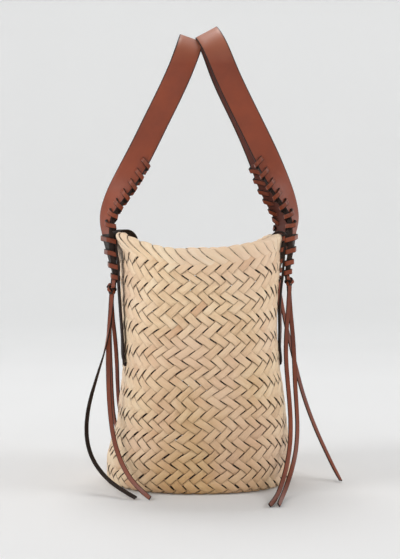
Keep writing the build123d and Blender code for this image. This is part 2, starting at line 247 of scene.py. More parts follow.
def ribbon(points, normals, ring, closed=False):
    """Sections of a flat ribbon along points, with its face towards normals."""
    points = np.asarray(points, float)
    if closed:
        runs = unit(np.roll(points, -1, 0) - np.roll(points, 1, 0))
    else:
        runs = unit(np.gradient(points, axis=0))
    normals = np.asarray(normals, float)
    normals = unit(normals - runs * np.sum(normals * runs, -1, keepdims=True))
    sides = np.cross(normals, runs)
    return (points[:, None] + sides[:, None] * ring[None, :, :1]
            + normals[:, None] * ring[None, :, 1:])


def along_line(points):
    """Distance along points."""
    steps = np.linalg.norm(np.diff(points, axis=0), axis=1)
    return np.concatenate(((0.0,), np.cumsum(steps)))


# ---- surface of the wall ----

MERIDIAN_STEP = 3.0
AROUND = 384
OVAL_POINTS = 1441
FLAT = BASE_INSET - BASE_CORNER
BEND = BASE_CORNER - WALL_MIDDLE
WALL_START = FLAT + BEND * math.pi / 2


def meridian(along):
    """Inset from the outline and height, at a distance up from the turned-under edge."""
    if along < FLAT:
        return BASE_INSET - along, WALL_MIDDLE
    if along < WALL_START:
        angle = (along - FLAT) / BEND
        return BASE_CORNER - BEND * math.sin(angle), BASE_CORNER - BEND * math.cos(angle)
    return WALL_MIDDLE, BASE_CORNER + along - WALL_START


def oval(height, inset):
    """Points of the outline at one height, evenly spaced from the middle of the front."""
    half_x, half_y, power = read(OUTLINE, height, 1, 2, 3)
    angle = np.linspace(-math.pi / 2, 1.5 * math.pi, OVAL_POINTS)
    reach = ((abs(np.cos(angle)) / (half_x - inset)) ** power
             + (abs(np.sin(angle)) / (half_y - inset)) ** power) ** (-1 / power)
    x, y = reach * np.cos(angle), reach * np.sin(angle)
    out = np.where(x < 0, -sway(-1, height), sway(1, height))
    x = x + out * smoothstep(abs(x) / (half_x - inset))
    length = along_line(np.stack((x, y), -1))
    even = np.linspace(0.0, length[-1], AROUND + 1)
    return np.interp(even, length, x), np.interp(even, length, y)


def wall_table():
    """Places and outward normals of the middle of the wall."""
    heights = np.arange(0.0, WALL_START + OUTLINE[-1, 0] - BASE_CORNER, MERIDIAN_STEP)
    table = np.zeros((len(heights), AROUND + 1, 3))
    for row, along in enumerate(heights):
        inset, height = meridian(along)
        table[row, :, 0], table[row, :, 1] = oval(height, inset)
        table[row, :, 2] = height
    around = np.gradient(table, axis=1)
    around[:, 0] = around[:, -1] = table[:, 1] - table[:, -2]
    return table, unit(np.cross(around, np.gradient(table, axis=0)))


WALL_POINTS, WALL_NORMALS = wall_table()
LEVEL_STEP = (WALL_START + RIM_LOW - FOLD_BELOW - BASE_CORNER) / LEVELS
RIM_X, RIM_Y = oval(RIM_LOW, WALL_MIDDLE)
SADDLE = RIM_RISE * (abs(RIM_X) / RIM_REACH) ** 4
SADDLE = SADDLE / (1 + (SADDLE / RIM_CAP) ** 8) ** 0.125
AT_FRONT = np.cos(np.linspace(0.0, 2 * math.pi, AROUND + 1)) > 0
SADDLE[AT_FRONT] = read(FRONT_RISE, RIM_X[AT_FRONT], 1)[0]
SADDLE[1:-1] = (SADDLE[:-2] + 2 * SADDLE[1:-1] + SADDLE[2:]) / 4
SADDLE *= 1 - RIM_DIP * np.exp(-(RIM_Y / DIP_HALF) ** 2)


def look_up(table, row, column):
    """Value of a table between its rows and columns."""
    row = np.clip(row, 0.0, len(table) - 1.001)
    column = np.clip(column, 0.0, AROUND - 0.001)
    r, c = row.astype(int), column.astype(int)
    fr, fc = (row - r)[..., None], (column - c)[..., None]
    low = table[r, c] * (1 - fc) + table[r, c + 1] * fc
    high = table[r + 1, c] * (1 - fc) + table[r + 1, c + 1] * fc
    return low * (1 - fr) + high * fr


def on_wall(column, level, lift, above=0.0):
    """Place on the plait: column round the basket, crossing level, height off the middle."""
    # a slow warp, so that neither the columns nor the rows run quite even
    turn = 2 * math.pi * column / COLUMNS
    column = (column + 0.09 * np.sin(3 * turn + 0.23 * level)
              + 0.10 * np.sin(8 * turn - 0.41 * level + 1.0))
    level = (level + 0.40 * np.sin(2 * turn + 0.6) * np.sin(math.pi * level / LEVELS)
             + 0.20 * np.sin(5 * turn + 0.37 * level))
    place = (column / COLUMNS) % 1.0 * AROUND
    saddle = np.interp(place, np.arange(AROUND + 1), SADDLE)
    climb = np.clip((level - SADDLE_FROM) / (LEVELS - SADDLE_FROM), 0.0, 1.3) ** 1.5
    row = (level * LEVEL_STEP + saddle * climb + above) / MERIDIAN_STEP
    points = look_up(WALL_POINTS, row, place)
    held = np.exp(-((abs(points[..., 1]) - LEGS_AT) / PRESS_HALF) ** 4)
    lip = np.where(points[..., 0] < 0, FLARE_LEFT - PRESSED * held, FLARE_RIGHT)
    lift = lift + (lip * smoothstep((level - FLARE_LEVEL) / FLARE_LEVELS)
                   * smoothstep((abs(points[..., 0]) - FLARE_FROM) / FLARE_SPAN))
    return points + look_up(WALL_NORMALS, row, place) * lift[..., None]


# ---- straw strips ----

# across a strip: place from edge to edge, and which face
RING_ACROSS = np.array((1.0, 0.93, 0.5, 0.0, -0.5, -0.93, -1.0, -0.55, 0.0, 0.55))
RING_FACE = np.array((-0.2, 1.0, 1.0, 1.0, 1.0, 1.0, -0.2, -1.0, -1.0, -1.0))
TURN_OFFSETS = (-0.34, -0.17, 0.0, 0.17, 0.34, 0.75, 1.25)


def float_state(level):
    """From 1, where a rising-left strip is on top, to -1, where it is below."""
    wave = np.sin(math.pi * (level + 0.5) / 2)
    return 0.82 * np.tanh(3.6 * wave) + 0.18 * wave


def strip_levels(low, high):
    """Levels of a strip's sections, closer together where it dives."""
    levels = {low, high}
    turn = math.floor(low / 2) * 2 - 0.5
    while turn < high:
        levels |= {turn + offset for offset in TURN_OFFSETS if low < turn + offset < high}
        turn += 2
    return np.array(sorted(levels))


def per_float(levels, spread):
    """Random value for each float of a strip, running smoothly between them."""
    knots = np.arange(math.floor(levels[0]) - 2.5, levels[-1] + 4, 2.0)
    return np.interp(levels, knots, [rng.gauss(0, spread) for _ in knots])


def straw_values(levels, direction):
    """Tone, hue, width, shift, lift and roll of one strip, at its sections."""
    tone = rng.gauss(TONE, TONE_STRIPS) + per_float(levels, TONE_FLOATS)
    blush = rng.random()
    hue = 1.0 if blush > ORANGE_FROM else 0.45 if blush > HALF_ORANGE_FROM else 0.0
    hue = hue * (0.5 + 0.5 * np.clip(per_float(levels, 1.0), -1.0, 1.0))
    width = STRIP_WIDTH * (1 + rng.uniform(-0.022, 0.012)) + per_float(levels, 0.022)
    width = width - LOW_NARROWER * (1 - smoothstep(levels / 26.0))
    width = width - WAIST * np.clip(np.sin(math.pi * (levels + 0.35 * direction)), 0.0, 1.0)
    shift, lift, roll = (per_float(levels, spread) for spread in (0.024, 0.10, 0.20))
    return tone, hue, np.minimum(width, STRIP_WIDEST), shift, lift, roll


def add_strip(piece, number, direction, levels, place, mark):
    """One strip: direction 1 rises to the left, -1 to the right."""
    tone, hue, width, shift, lift, roll = straw_values(levels, direction)
    across = RING_ACROSS[None]
    own = number + (across * width[:, None] / 2 + shift[:, None])
    other = (number - direction * levels)[:, None]
    state = direction * float_state(levels)
    crown = STRIP_CROWN * (1 - across ** 2) * state[:, None]
    lift = (state * STRIP_LIFT + lift)[:, None] + RING_FACE[None] * STRIP_THICK / 2 + crown
    roll = roll - STRIP_SHINGLE * direction * np.clip(state, 0.0, 1.0)
    lift = lift + roll[:, None] * across
    # coordinates of the grain: across, along, and a value that differs from strip to strip
    fibre = np.stack(np.broadcast_arrays(
        4.2 * across, 8.6 * levels[:, None], mark * 17.0 + (900.0 if direction < 0 else 0.0)), -1)
    piece.sweep(
        place((own + other) / 2, (own - other) * direction, lift), flip=direction < 0,
        tone=tone[:, None], hue=hue[:, None], edge=abs(across),
        dive=(1 - state[:, None] * RING_FACE[None]) / 2, fibre=fibre,
    )


def wall_strips(direction):
    """All the strips of one direction."""
    piece = Piece()
    levels = strip_levels(0.0, STRIPS_TO[direction])
    for number in range(COLUMNS):
        add_strip(piece, number, direction, levels, on_wall, number)
    return piece


RIM_RING = 9  # points across each face of a rim ribbon
RIM_EMERGES = 46.9  # the ribbons come out of the plait at this level
RIM_UPRIGHT = 48.9  # and no longer slant above this one
RIM_CLEAR = 1.5  # they lie this far off the middle of the wall at first
RIM_THICK, RIM_CROWN, RIM_SHINGLE = 0.64, 0.85, 0.40
RIM_TONE, RIM_TONE_SPREAD = 0.62, 0.11


def there_and_back(out, fold, sign=1):
    """Values for a ribbon's run up the outside, over the fold, and the same run back inside."""
    return np.concatenate((out, fold, sign * out[::-1]))


def rim_ribbons():
    """Wide folded strips over the rim: up the outside to the left, over, and down the inside."""
    piece = Piece()
    fold = np.radians(np.linspace(0.0, 180.0, 11))
    levels = np.array((46.75, 47.0, 47.25, 47.5, 47.75, 48.0, 48.5, 49.0))
    share_out = smoothstep((levels - RIM_EMERGES) / 0.9)
    centre = there_and_back(levels, np.full(len(fold), LEVELS))
    travel = np.concatenate((levels, LEVELS + fold * 0.45, 2 * LEVELS - levels[::-1] + 1.4))
    skew = there_and_back(smoothstep((RIM_UPRIGHT - levels) / 1.7), 0 * fold, -1)
    sign = there_and_back(np.ones(len(levels)), np.cos(fold), -1)
    up = there_and_back(0 * levels, np.sin(fold))
    dive = there_and_back(1 - share_out, 0 * fold)
    bow = 0.16 * np.sin(np.clip((travel - RIM_EMERGES) / 3.2, 0, 1) * math.pi)
    narrower = 0.95 + 0.05 * smoothstep((travel - RIM_EMERGES) / 2.0)
    t = np.linspace(1.0, -1.0, RIM_RING)
    t = np.concatenate((t, t[1:-1][::-1] * 0.985))
    face = np.concatenate((np.full(RIM_RING, 1.0), np.full(RIM_RING - 2, -1.0)))
    face[0] = face[RIM_RING - 1] = 0.0
    off = RIM_THICK / 2 * face[None] + RIM_CROWN * (1 - t[None] ** 2) + RIM_SHINGLE * t[None]
    for number in range(COLUMNS):
        reach = 3.3 + rng.uniform(-0.15, 0.15)
        low = RIM_CLEAR * share_out + (reach - RIM_CLEAR) * smoothstep((levels - 47.6) / 1.8)
        lift = np.concatenate((-0.2 + 0.2 * share_out + low, reach * np.cos(fold), -low[::-1]))
        above = there_and_back(0 * levels, (reach + 0.1) * np.sin(fold))
        wide = (0.95 + rng.uniform(-0.03, 0.015)) / 2 * narrower
        column = ((number - travel / 2 - bow)[:, None]
                  + t[None] * (wide * (1 - 0.5 * abs(skew)))[:, None])
        level = centre[:, None] + t[None] * (wide * skew)[:, None]
        points = on_wall(column, level, lift[:, None] + off * sign[:, None],
                         above[:, None] + off * up[:, None])
        fibre = np.stack(np.broadcast_arrays(
            6.0 * t[None], 5.6 * travel[:, None], 3000.0 + number * 19.0), -1)
        piece.sweep(points, tone=RIM_TONE + rng.gauss(0, RIM_TONE_SPREAD), hue=0.0,
                    edge=abs(t)[None], dive=dive[:, None] * 0.5, fibre=fibre)
    return piece


BASE_PITCH = 13.4
BASE_HEIGHT = 1.85
BASE_CUT = 21.0  # the plait of the base ends this far inside the outline
BASE_STRIPS, BASE_LEVELS = 22, 20.0  # strips and crossings to each side of its middle
BASE_MARK = 100  # keeps its grain apart from that of the wall


def on_base(column, level, lift):
    """Place on the flat plait of the base."""
    return np.stack((column * BASE_PITCH, level * LEVEL_STEP, BASE_HEIGHT + 0.8 * lift), -1)


def base_strips():
    """Plait of the base, cut off under the turned-under edge of the wall."""
    piece = Piece()
    half_x, half_y, power = OUTLINE[0, 1:]
    levels = strip_levels(-BASE_LEVELS, BASE_LEVELS)
    for direction in (1, -1):
        for number in range(-BASE_STRIPS, BASE_STRIPS + 1):
            x = (number - direction * levels / 2) * BASE_PITCH
            y = levels * LEVEL_STEP
            inside = (abs(x / (half_x - BASE_CUT)) ** power
                      + abs(y / (half_y - BASE_CUT)) ** power) < 1
            if inside.sum() >= 3:
                add_strip(piece, number, direction, levels[inside], on_base, number + BASE_MARK)
    return piece


# ---- materials ----

def linear(red, green, blue):
    """Linear colour from 0-255 display values."""
    parts = [c / 255 for c in (red, green, blue)]
    return [c / 12.92 if c <= 0.04045 else ((c + 0.055) / 1.055) ** 2.4 for c in parts] + [1.0]


MOST = (0.3, 0.7)  # most of a noise texture's values lie between these


class Nodes:
    """Small helper to wire a material."""

    def __init__(self, name):
        self.material = bpy.data.materials.new(name)
        self.material.use_nodes = True
        self.tree = self.material.node_tree
        self.shader = self.tree.nodes["Principled BSDF"]

    def feed(self, node, inputs):
        """Links or sets sockets of a node."""
        for key, value in inputs.items():
            if isinstance(value, bpy.types.NodeSocket):
                self.tree.links.new(value, node.inputs[key])
            else:
                node.inputs[key].default_value = value

    def add(self, kind, inputs=None, **settings):
        node = self.tree.nodes.new("ShaderNode" + kind)
        for key, value in settings.items():
            setattr(node, key, value)
        self.feed(node, inputs or {})
        return node

    def attribute(self, name, output="Fac"):
        return self.add("Attribute", attribute_name=name).outputs[output]

    def math(self, operation, a, b=0.0, clamp=False):
        return self.add("Math", {0: a, 1: b}, operation=operation, use_clamp=clamp).outputs[0]

    def noise(self, vector, scale, detail=3.0, rough=0.5):
        return self.add("TexNoise", {"Vector": vector, "Scale": scale, "Detail": detail,
                                     "Roughness": rough}).outputs["Fac"]

    def grain(self, vector, scale, detail, rough):
        """Noise drawn out along the straw."""
        stretched = self.add("Mapping", {"Vector": vector, "Scale": scale}).outputs[0]
        return self.noise(stretched, 1.0, detail, rough)

    def span(self, value, low, high, to_low=0.0, to_high=1.0):
        return self.add("MapRange", {0: value, 1: low, 2: high, 3: to_low, 4: to_high}).outputs[0]

    def mix(self, factor, a, b, blend="MIX"):
        return self.add("Mix", {0: factor, 6: a, 7: b}, data_type="RGBA",
                        blend_type=blend).outputs[2]

    def ramp(self, factor, stops):
        node = self.add("ValToRGB", {0: factor})
        ramp = node.color_ramp
        while len(ramp.elements) < len(stops):
            ramp.elements.new(0.5)
        for element, (place, colour) in zip(ramp.elements, stops):
            element.position = place
            element.color = colour
        return node.outputs[0]

    def finish(self, colour, roughness, bump=None, strength=0.5, distance=0.0002, **sockets):
        wires = {"Base Color": colour, "Roughness": roughness}
        if bump is not None:
            wires["Normal"] = self.add("Bump", {"Height": bump, "Strength": strength,
                                                "Distance": distance}).outputs[0]
        wires.update({key.replace("_", " "): value for key, value in sockets.items()})
        self.feed(self.shader, wires)
        return self.material


def straw_material(name, lighter, edge_shade):
    """Dried palm leaf: long fibres, lighter and darker strips, with painted shade in the gaps along
    the edges and where a strip dives, painted shade towards the floor and a painted highlight at
    the left and the right.
    """
    n = Nodes(name)
    fibre = n.attribute("fibre", "Vector")
    streaks = n.grain(fibre, (2.6, 0.035, 1.0), 4.0, 0.65)
    veins = n.grain(fibre, (7.0, 0.05, 1.0), 2.0, 0.5)
    blotches = n.grain(fibre, (0.22, 0.09, 1.0), 3.0, 0.6)
    tone = n.math("ADD", n.attribute("tone"), lighter)
    tone = n.math("ADD", tone, n.span(streaks, *MOST, -0.14, 0.14))
    tone = n.math("ADD", tone, n.span(blotches, *MOST, -0.12, 0.12))
    colour = n.ramp(tone, (
        (0.0, linear(188, 146, 104)),
        (0.25, linear(222, 186, 146)),
        (0.5, linear(240, 208, 169)),
        (0.75, linear(247, 222, 188)),
        (1.0, linear(251, 234, 208)),
    ))
    place = n.add("TexCoord").outputs["Object"]
    x, _, z = n.add("SeparateXYZ", {0: place}).outputs
    off_middle = n.math("ABSOLUTE", x, 0.0)
    # painted shade: darker and yellower towards the floor, more in the middle than at the sides
    low = n.math("MULTIPLY", n.span(z, 0.20, 0.02), n.span(off_middle, 0.05, 0.1, 0.8, 0.3))
    # painted highlight: the straw made lighter at the left and the right of the bag
    sides = n.span(off_middle, 0.05, 0.1, 0.0, 0.3)
    blush = n.span(n.noise(place, 13.0, 2.0, 0.5), 0.42, 0.64, 0.0, 0.5)
    orange = n.math("MULTIPLY", n.attribute("hue"), 0.55)
    freckle = n.span(n.grain(fibre, (1.1, 0.45, 1.0), 5.0, 0.7), 0.70, 0.80)
    # painted shade: patchy dark lines along the strips' edges, and darkening where a strip dives
    # under another
    patches = n.span(n.grain(fibre, (0.05, 0.12, 1.0), 2.0, 0.5), 0.38, 0.6, 0.35, 1.0)
    rim = n.span(n.attribute("edge"), 0.92, 1.0)
    edge_shade = n.math("MULTIPLY", n.math("MULTIPLY", rim, edge_shade), patches)
    gap_shade = n.math("MAXIMUM", edge_shade, n.span(n.attribute("dive"), 0.48, 0.86))
    for layer, shade in (
            (low, (212, 192, 156)),             # painted shade: darker and yellower near the floor
            (sides, (253, 238, 216)),           # painted highlight: lighter at the left and the right
            (blush, (232, 196, 170)),           # pinker in broad patches
            (orange, (203, 146, 104)),          # a few strips
            (n.math("MULTIPLY", freckle, 0.35), (150, 104, 66)),
            (gap_shade, (30, 16, 9))):               # painted shade along the edges, and where a strip dives
        blend = "MULTIPLY" if layer is low else "MIX"
        colour = n.mix(layer, colour, linear(*shade), blend)
    relief = n.math("ADD", streaks, n.math("MULTIPLY", veins, 0.6))
    rough = n.span(streaks, *MOST, 0.44, 0.60)
    return n.finish(colour, rough, relief, 0.55, 0.00022, Specular_IOR_Level=0.42)


def leather_material(name, light, dark, rough, grain, wear=0.0, specular=0.5, top_highlight=0.0):
    """Smooth leather with fine pores and a soft mottle.

    Wear darkens its edges, and a painted highlight lightens it towards the top of the handles.
    """
    n = Nodes(name)
    place = n.add("TexCoord").outputs["Object"]
    pores = n.add("TexVoronoi", {"Vector": place, "Scale": 1500.0 * grain}, feature="F1").outputs[0]
    mottle = n.noise(place, 38.0, 4.0, 0.6)
    fine = n.noise(place, 900.0 * grain, 3.0, 0.6)
    fade = n.noise(place, 9.0, 2.0, 0.5)
    mix = n.math("ADD", n.span(mottle, *MOST, -0.25, 0.25), n.span(fade, 0.35, 0.65, 0.25, 0.75))
    colour = n.mix(n.math("ADD", mix, 0.0, True), dark, light)
    # painted highlight: lighter and pinker towards the top of the handles, where a sheen would show
    if top_highlight:
        height = n.add("SeparateXYZ", {0: place}).outputs[2]
        colour = n.mix(n.span(height, 0.466, 0.508, 0.0, top_highlight), colour, linear(204, 146, 120))
    if wear:
        edge = n.span(n.attribute("edge"), 0.86, 0.99)
        colour = n.mix(n.math("MULTIPLY", edge, wear), colour, linear(58, 28, 20))
    relief = n.math("ADD", n.span(pores, 0.0, 0.6), n.math("MULTIPLY", fine, 0.8))
    gloss = n.math("ADD", n.span(mottle, *MOST, rough - 0.05, rough + 0.07),
                   n.span(fine, *MOST, -0.03, 0.03))
    return n.finish(colour, gloss, relief, 0.35, 0.00012, Specular_IOR_Level=specular)


# the last number sets the strength of the painted shade along the strips' edges
STRAW = straw_material("straw", 0.0, 0.9)
STRAW_RIM = straw_material("straw_rim", 0.04, 0.65)
# the strap's top is lightened by a painted highlight
STRAP = leather_material("strap_leather", linear(146, 65, 33), linear(116, 48, 23),
                         0.47, 1.0, wear=0.6, specular=0.45, top_highlight=0.45)
DARK = leather_material("dark_leather", linear(46, 29, 22), linear(28, 18, 13),
                        0.6, 0.8, specular=0.28)
# the strap's reverse: brown leather like the face, painted darker than the face as shade
SHADED_REVERSE = leather_material("strap_reverse_shaded", linear(104, 50, 36), linear(80, 37, 27), 0.62, 1.3)
LACE = leather_material("lace_leather", linear(140, 66, 36), linear(98, 42, 23),
                        0.42, 1.0, wear=0.6, specular=0.4)
LACE_SKINS = [LACE, DARK, DARK]  # face, cut edge and reverse

# ---- basket pieces ----

PLAIT_SHARP = 60  # edges of the straw are sharp from this many degrees
for name, made, skin, slot, node in (
        ("wall_strips_left", wall_strips(1), STRAW, "straw", "woven_wall"),
        ("wall_strips_right", wall_strips(-1), STRAW, "straw", "woven_wall"),
        ("rim_ribbons", rim_ribbons(), STRAW_RIM, "straw_rim", "rim_fold"),
        ("base_strips", base_strips(), STRAW, "straw", "woven_base")):
    settle(made.build(name, [skin], PLAIT_SHARP), [node])

# ---- handles ----

STRAP_WIDTH = 28.0
STRAP_THICK = 3.0
STRAP_STEP = 3.2  # between sections of the strap
STRAP_SHARP = 70
TIP = 4.0  # length of the rounded tip of the lower end
LINING_THICK = 2.6
LINING_LENGTH = 92.0
LINING_ROUND = 6.0  # its upper end is rounded over this length
END_ROWS = 16  # sections of a strap below its hinge line, dark but for the last two
DARK_ROWS = END_ROWS - 2
HINGE_Z = 283.0
LEG_Y = 39.5
TWIST_LOW = 275.0
TWIST_SHARE = 0.80  # of a quarter turn, at the rim
TWIST_HIGH = 378.0
TWIST_MORE, MORE_OVER = 0.22, 50.0  # below the hinge line the twist grows by this share
BACK_OUT, OUT_FROM, OUT_OVER = 8.0, 292.0, 130.0  # how far the right back leg hangs out
BACK_BLEND = 46.0  # between the front and the back leg it grows over twice this
# of each handle, at its front leg: the lean of the strap from the side of the bag to the middle
# of the top, as distance from the middle and height; the half depth of the arch; the lower end
# under the rim upwards, as height, distance from the middle, width and thickness; heights of
# the lashing's turns; and the knot
HANDLES = {
    -1: ((
        (106.4, 283.0), (106.6, 297.0), (101.0, 313.0), (84.6, 341.0), (70.0, 367.0),
        (52.6, 402.0), (37.3, 433.0), (23.8, 463.0), (14.5, 487.5), (10.3, 499.8),
    ), 40.5, (
        (225.5, 96.4, 7.0, 3.0), (231.5, 97.2, 10.0, 4.6), (244.0, 100.2, 14.0, 6.0),
        (259.5, 103.4, 18.0, 6.6), (274.0, 105.8, 23.0, 6.4), (283.0, 106.4, 28.0, 5.4),
    ), (273.5, 259.0, 244.0, 231.5), (100.6, 42.5, 218.0)),
    1: ((
        (101.2, 283.0), (101.9, 297.0), (97.0, 313.0), (82.8, 341.0), (70.0, 367.0),
        (52.6, 402.0), (36.0, 435.0), (21.4, 467.0), (10.2, 494.0), (3.5, 506.8),
    ), 43.5, (
        (231.0, 94.8, 8.0, 3.0), (237.5, 95.4, 11.0, 4.4), (248.5, 97.6, 15.0, 5.6),
        (261.5, 100.0, 19.0, 6.4), (274.5, 100.6, 24.0, 6.4), (283.0, 101.2, 28.0, 5.4),
    ), (275.0, 262.0, 248.5, 237.0), (96.2, 42.5, 226.5)),
}
STITCHES = 7
STITCH_FIRST = 9.5
STITCH_STEP = 13.4
LACE_WIDE = 5.4
LACE_THICK = 2.3


def cubic_through(points, count=600):
    """Natural cubic spline through points, as many close points."""
    points = np.array(points, float)
    t = along_line(points)
    n, h = len(t), np.diff(t)
    matrix, right = np.eye(n), np.zeros((n, points.shape[1]))
    for k in range(1, n - 1):
        matrix[k, k - 1:k + 2] = h[k - 1], 2 * (h[k - 1] + h[k]), h[k]
        right[k] = 6 * ((points[k + 1] - points[k]) / h[k] - (points[k] - points[k - 1]) / h[k - 1])
    bend = np.linalg.solve(matrix, right)
    at = np.linspace(0.0, t[-1], count)
    k = np.clip(np.searchsorted(t, at, "right") - 1, 0, n - 2)
    a, b, w = (t[k + 1] - at)[:, None], (at - t[k])[:, None], h[k][:, None]
    return (bend[k] * a**3 / (6 * w) + bend[k + 1] * b**3 / (6 * w)
            + (points[k] / w - bend[k] * w / 6) * a + (points[k + 1] / w - bend[k + 1] * w / 6) * b)


def hung(sections, side):
    """The back leg of the right handle hangs a little further out than its front leg."""
    if side < 0:
        return sections
    y, z = sections[..., 1], sections[..., 2]
    out = (BACK_OUT * smoothstep((z - OUT_FROM) / OUT_OVER)
           * smoothstep((y + BACK_BLEND) / (2 * BACK_BLEND)))
    return sections + np.stack((out, 0 * out, 0 * out), -1)


class Handle:
    """Side view, leg and bend of one handle, at its right front quarter."""

    def __init__(self, lean, arch, end_rows):
        line = cubic_through(lean)
        places = along_line(line)
        self.table = np.column_stack((places, line, unit(np.gradient(line, axis=0))))
        self.end = np.array(end_rows)
        self.arch, self.leg = arch, places[-1] - arch
        self.length = self.leg + arch * math.pi / 2

    def across(self, distance):
        """Middle, direction to the laced edge and direction of the brown face."""
        if distance <= 0:
            height = HINGE_Z + distance
            turn = TWIST_SHARE * math.pi / 2 * (1 + TWIST_MORE * smoothstep(-distance / MORE_OVER))
            return (np.array((read(self.end, height, 1)[0], -LEG_Y, height)),
                    np.array((-math.cos(turn), -math.sin(turn), 0.0)),
                    np.array((math.sin(turn), -math.cos(turn), 0.0)))
        if distance <= self.leg:
            bend, along = 0.0, distance
            y = -(LEG_Y + (self.arch - LEG_Y) * distance / self.leg)
        else:
            bend = min((distance - self.leg) / self.arch, math.pi / 2)
            along = self.leg + self.arch * math.sin(bend)
            y = -self.arch * math.cos(bend)
        x, z, rise_x, rise_z = read(self.table, along, 1, 2, 3, 4)
        rise = unit(np.array((rise_x, 0.0, rise_z)))
        flat = np.array((-rise[2], 0.0, rise[0]))
        run = rise * math.cos(bend) + np.array((0.0, math.sin(bend), 0.0))
        face = np.cross(run, flat)
        turned = smoothstep((TWIST_HIGH - z) / (TWIST_HIGH - TWIST_LOW))
        turn = TWIST_SHARE * math.pi / 2 * turned
        width = flat * math.cos(turn) + face * math.sin(turn)
        return np.array((x, y, z)), width, np.cross(run, width)

    def section(self, distance, ring):
        """Points of a ring drawn round the strap, at a distance along it."""
        origin, width, normal = self.across(distance)
        return origin + ring[:, :1] * width + ring[:, 1:] * normal


def strap_sections(handle):
    """Sections of the strap from its tapered lower end to the middle of the top."""
    sections, edges = [], []
    low = handle.end[0, 0] - HINGE_Z
    stations = (*np.linspace(low, 0.0, END_ROWS),
                *np.arange(3.0, handle.length - 2.0, STRAP_STEP), handle.length)
    for distance in stations:
        wide, thick = STRAP_WIDTH, STRAP_THICK
        if distance < 0:
            wide, thick = read(handle.end, HINGE_Z + distance, 2, 3)
            if distance < low + TIP:
                wide = wide * (0.55 + 0.45 * math.sqrt(max(distance - low, 0.0) / TIP))
        ring, paint = rounded_ring(wide / 2, STRAP_THICK / 2, STRAP_THICK / 2 - thick, 0.9, 5)
        sections.append(handle.section(distance, ring))
        edges.append(abs(ring[:, 0]) / (wide / 2))
    return np.array(sections), np.array(edges), paint


def lining_sections(handle):
    """Sections of the second layer under the laced stretch."""
    sections, edges = [], []
    top = -STRAP_THICK / 2 - 0.05
    straight = LINING_LENGTH - LINING_ROUND
    stations = (*np.linspace(-1.0, straight, 32),
                *(straight + LINING_ROUND * np.sin(np.radians((20, 40, 60, 78, 90)))))
    for distance in stations:
        beyond = max(distance - LINING_LENGTH + LINING_ROUND, 0.0) / LINING_ROUND
        share = math.sqrt(max(0.0, 1 - beyond ** 2))
        half = STRAP_WIDTH / 2 - 0.3 - 2.0 * (1 - share)
        ring, paint = rounded_ring(half, top, top - LINING_THICK * max(share, 0.15), 0.19)
        sections.append(handle.section(distance, ring))
        edges.append(abs(ring[:, 0]) / (STRAP_WIDTH / 2))
    return np.array(sections), np.array(edges), [max(tint, 1) for tint in paint]


LACE_RING, LACE_LOOK = flat_section(LACE_WIDE, LACE_THICK, 0.55)
# one whip stitch, from its hole over the edge and back to the next hole down: towards the laced
# edge, off the middle of the strap, along it, and the direction the lace faces, in degrees
STITCH = (
    (5.4, -1.6, 0.0, 270), (5.8, 1.4, 0.0, 225), (7.2, 3.3, -0.5, 195), (10.4, 4.2, -1.9, 180),
    (13.5, 3.5, -3.3, 150), (15.4, 1.1, -4.3, 112), (15.6, -1.4, -4.9, 90), (15.2, -3.8, -5.5, 60),
    (13.2, -5.6, -6.4, 20), (10.4, -5.9, -8.6, 0), (7.4, -5.7, -11.2, 350), (5.8, -4.1, -13.1, 310),
)
LAST_STITCH = 10  # the lowest stitch has only this many of these points


def whip_lacing(handle):
    """Lace that goes round the laced edge, once a stitch, from the top down."""
    rows = []
    for k in reversed(range(STITCHES)):
        station = STITCH_FIRST + STITCH_STEP * k
        jitter = rng.uniform(-0.5, 0.5)
        for n, (w, h, s, face) in enumerate(STITCH if k else STITCH[:LAST_STITCH]):
            rows.append((w, h, station + s + jitter * (0.3 + 0.07 * n), face))
    rows = np.array(rows)
    rows[:, 3] = np.degrees(np.unwrap(np.radians(rows[:, 3])))
    points, normals = [], []
    for w, h, station, face in smooth_through(rows, 4):
        origin, width, normal = handle.across(station)
        points.append(origin + width * w + normal * h)
        angle = math.radians(face)
        normals.append(width * math.sin(angle) - normal * math.cos(angle))
    return ribbon(points, normals, LACE_RING)


def hull_loop(corners, grow, per_edge=3, per_turn=5):
    """Rounded loop round a convex outline given anticlockwise: points and outward normals."""
    corners = np.array(corners, float)
    edges = np.roll(corners, -1, 0) - corners
    outward = unit(np.stack((edges[:, 1], -edges[:, 0]), -1))
    points, normals = [], []
    for k, corner in enumerate(corners):
        before, after = outward[k - 1], outward[k]
        start, stop = math.atan2(before[1], before[0]), math.atan2(after[1], after[0])
        stop = start + (stop - start) % (2 * math.pi)
        for turn in np.linspace(start, stop, per_turn):
            normal = np.array((math.cos(turn), math.sin(turn)))
            points.append(corner + normal * grow)
            normals.append(normal)
        ahead = corners[(k + 1) % len(corners)]
        for share in np.linspace(0, 1, per_edge + 2)[1:-1]:
            points.append(corner + (ahead - corner) * share + after * grow)
            normals.append(after)
    return np.array(points), np.array(normals)


LOOP_TURN = math.radians(10.0)
LOOP_OUT = np.array((math.cos(LOOP_TURN), -math.sin(LOOP_TURN)))
LOOP_SIDE = np.array((-LOOP_OUT[1], LOOP_OUT[0], 0.0))
BAND_RIGHT = -1.0  # the right loops follow the lip of the rim by this
# from the wall to the middle of a loop's outside run, from its foot to the rim
STAND_HEIGHTS = (137, 160, 185, 206, 228, 246, 262)
STAND_OFF = {-1: (1.6, 2.3, 3.2, 4.0, 4.8, 4.2, 3.4), 1: (1.6, 1.9, 2.4, 2.5, 3.2, 3.4, 3.4)}


def wall_reach(height):
    """Distance of the outside of the wall from the middle, at a leg."""
    half_x, half_y, power = read(OUTLINE, height, 1, 2, 3)
    return half_x * (1 - (LEG_Y / half_y) ** power) ** (1 / power)


